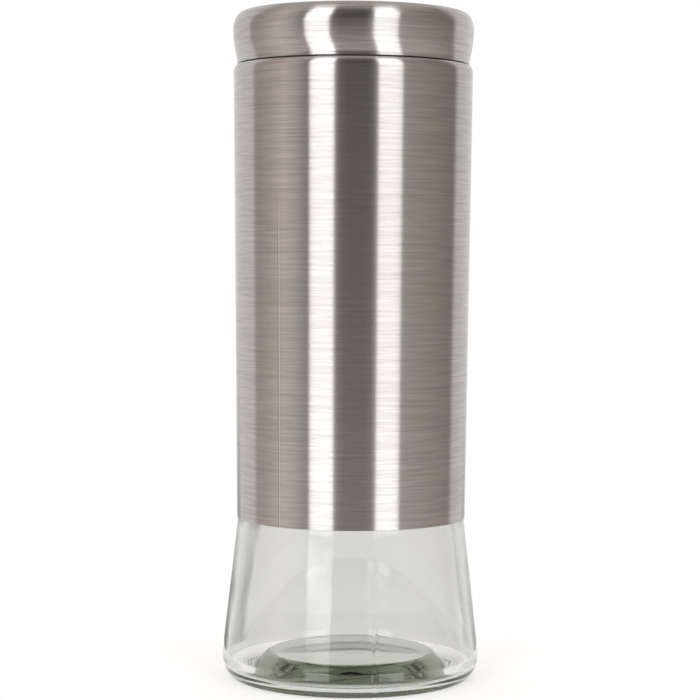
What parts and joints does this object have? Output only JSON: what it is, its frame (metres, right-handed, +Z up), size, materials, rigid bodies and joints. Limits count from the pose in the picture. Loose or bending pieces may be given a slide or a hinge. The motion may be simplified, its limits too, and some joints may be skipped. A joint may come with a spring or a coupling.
{
  "type": "lidded glass canister",
  "caption": "Tall food canister: a glass jar in a tapered brushed steel sleeve, with a flared bare glass foot and a steel-capped screw lid.",
  "frame": {"origin": "centre of the ring that the jar stands on, at table height", "axes": "+Z up along the jar's axis; the front that the camera sees faces -Y, +X to its right"},
  "size_m": [0.112, 0.112, 0.288],
  "materials": {
    "glass": "clear pressed glass, slightly wavy inside, faintly green in thick sections",
    "brushed_steel": "round-brushed stainless steel, satin",
    "adhesive": "cured clear silicone glue",
    "screw_ring_plastic": "fine satin moulded polypropylene",
    "silicone": "milky satin silicone"
  },
  "bodies": {
    "jar": {"glass_jar": "glass", "steel_sleeve": "brushed_steel", "sleeve_adhesive": "adhesive"},
    "seal": {"lid_gasket": "silicone"},
    "lid": {"lid_shell": "brushed_steel", "lid_insert": "screw_ring_plastic"}
  },
  "joints": [
    {"name": "lid_rise", "type": "slide", "parent": "jar", "child": "seal", "axis": [0, 0, 1], "range_m": [0, 0.048]},
    {"name": "lid_turn", "type": "hinge", "parent": "seal", "child": "lid", "pos_m": [0, 0, 0.2755], "axis": [0, 0, 1], "range_deg": [0, 720]}
  ],
  "couplings": [
    {"joint": "lid_rise", "follows": "lid_turn", "m_per_rad": 0.0038197}
  ]
}
